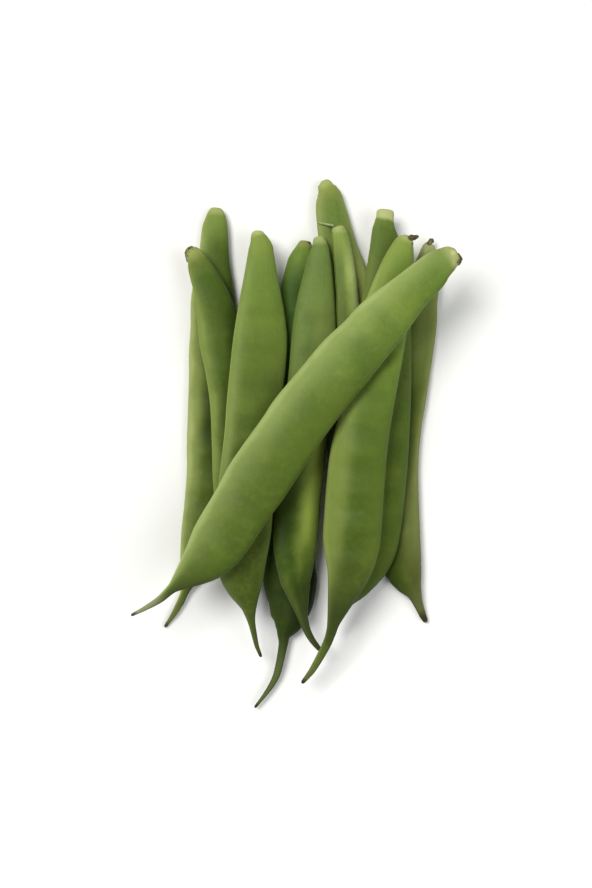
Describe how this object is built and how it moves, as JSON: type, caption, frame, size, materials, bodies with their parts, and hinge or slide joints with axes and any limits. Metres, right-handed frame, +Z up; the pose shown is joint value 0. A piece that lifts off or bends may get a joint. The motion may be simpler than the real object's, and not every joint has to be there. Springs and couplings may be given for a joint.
{
  "type": "green bean bundle",
  "caption": "Loose bundle of flat green bean pods lying down, layered side by side with one pod laid diagonally on top, tails and stem ends still on.",
  "frame": {"origin": "middle of the footprint, on the surface that the bundle lies on", "axes": "+Z up, +Y towards the stem ends along the pods, +X across the pods to the right as seen from above"},
  "size_m": [0.117, 0.1936, 0.0344],
  "materials": {
    "skin_olive": "satin",
    "skin_deep": "satin",
    "skin_mid": "satin",
    "skin_grey": "satin",
    "skin_light": "satin",
    "calyx_dry": "matte",
    "stalk_pale": "matte"
  },
  "bodies": {
    "root": {"pod_left_outer": "skin_olive", "pod_left_inner": "skin_deep", "pod_left_broad": "skin_mid", "pod_centre_long": "skin_deep", "pod_centre_upper": "skin_grey", "pod_back_slim": "skin_light", "pod_back_tall": "skin_mid", "pod_right_capped": "skin_deep", "pod_right_broad": "skin_mid", "pod_right_outer": "skin_deep", "pod_diagonal": "skin_light", "calyx_left": "calyx_dry", "calyx_mid": "calyx_dry", "calyx_right": "calyx_dry", "calyx_diagonal": "calyx_dry", "stalk_thread": "stalk_pale"}
  },
  "joints": []
}
